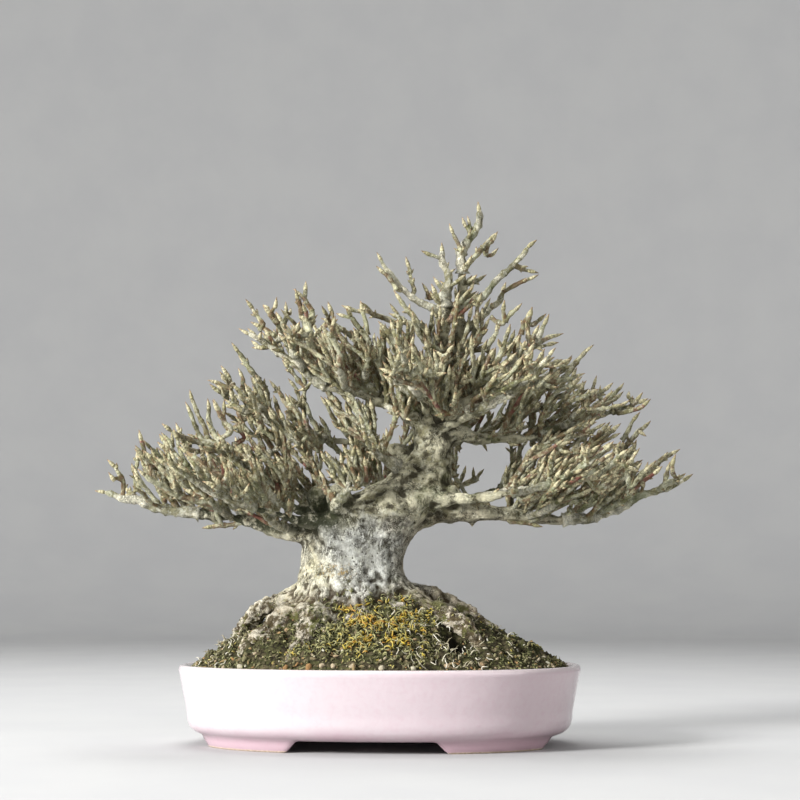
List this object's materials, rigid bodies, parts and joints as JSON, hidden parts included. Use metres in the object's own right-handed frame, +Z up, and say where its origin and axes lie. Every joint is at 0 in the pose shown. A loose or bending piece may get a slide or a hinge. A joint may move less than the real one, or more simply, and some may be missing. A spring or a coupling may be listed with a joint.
{
  "type": "trident maple bonsai",
  "caption": "Bare winter bonsai: thick tapering trunk on spreading surface roots, tiered limbs with dense fine twigs and pointed buds, in a low oval glazed pot with feet.",
  "frame": {"origin": "under the middle of the whole object's box, on the surface that the pot's feet stand on", "axes": "+X along the pot's long side and the crown's widest spread, towards the side that the treetop leans to; -Y towards the front; +Z up"},
  "size_m": [0.2956, 0.176, 0.2718],
  "materials": {
    "glaze": "glossy white to pale pink glaze, deeper pink where it pools above the feet, bare pale clay under the feet",
    "bark": "rough pale grey-green and cream bark with whitish lichen, beige twigs and brown-tipped buds",
    "soil": "matt granular soil, partly grown over with yellow-green moss",
    "screen": "matt black-green plastic",
    "wire": "dull bare wire"
  },
  "bodies": {
    "root": {"pot": "glaze", "soil": "soil", "tree": "bark", "drain_screen_left": "screen", "drain_screen_right": "screen", "screen_clip_left": "wire", "screen_clip_right": "wire"}
  },
  "joints": []
}
